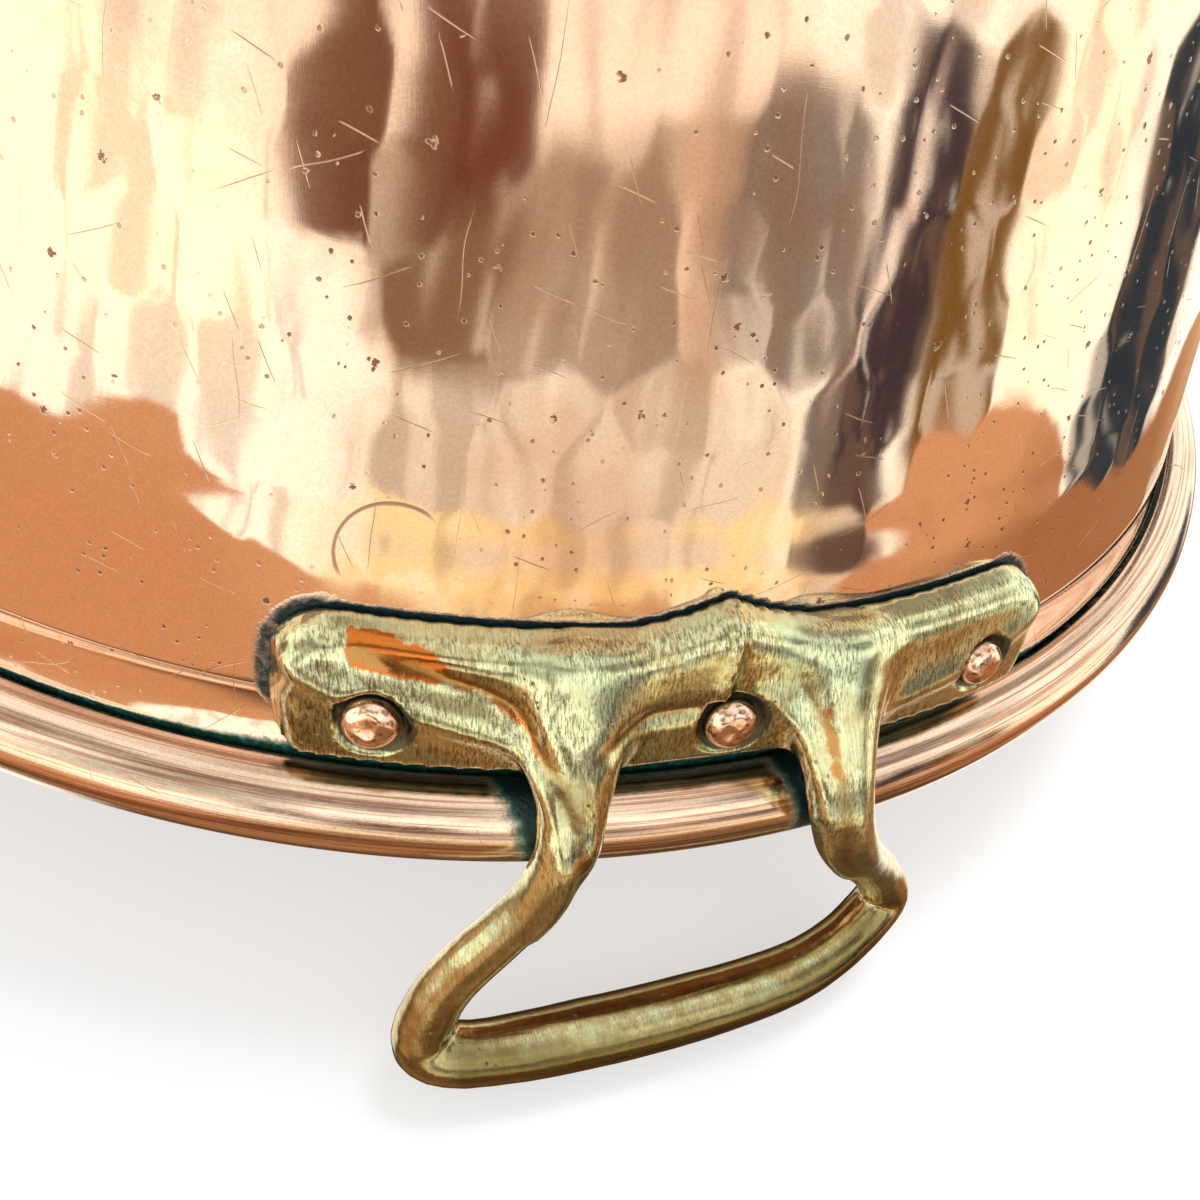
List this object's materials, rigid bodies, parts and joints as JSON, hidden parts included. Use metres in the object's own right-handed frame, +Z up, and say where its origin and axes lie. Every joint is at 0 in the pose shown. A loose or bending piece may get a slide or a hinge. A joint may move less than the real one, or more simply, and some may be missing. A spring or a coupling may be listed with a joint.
{
  "type": "hammered copper bowl",
  "caption": "Wide hammered copper bowl with a flared wall, a rim rolled over wire, and a cast brass loop handle riveted on at each side.",
  "frame": {"origin": "centre of the bowl's flat underside", "axes": "+Z up along the bowl's axis towards the mouth; the two handles stand on -Y and +Y"},
  "size_m": [0.4143, 0.459, 0.1703],
  "materials": {
    "copper": "hammered and worn polish",
    "brass": "cast, filed and worn",
    "rivet_copper": "hammered and worn bright",
    "iron_wire": "drawn black wire"
  },
  "bodies": {
    "root": {"bowl_shell": "copper", "rim_wire": "iron_wire", "handle_front": "brass", "handle_back": "brass", "rivet_front_left": "rivet_copper", "rivet_front_middle": "rivet_copper", "rivet_front_right": "rivet_copper", "rivet_back_left": "rivet_copper", "rivet_back_middle": "rivet_copper", "rivet_back_right": "rivet_copper"}
  },
  "joints": []
}
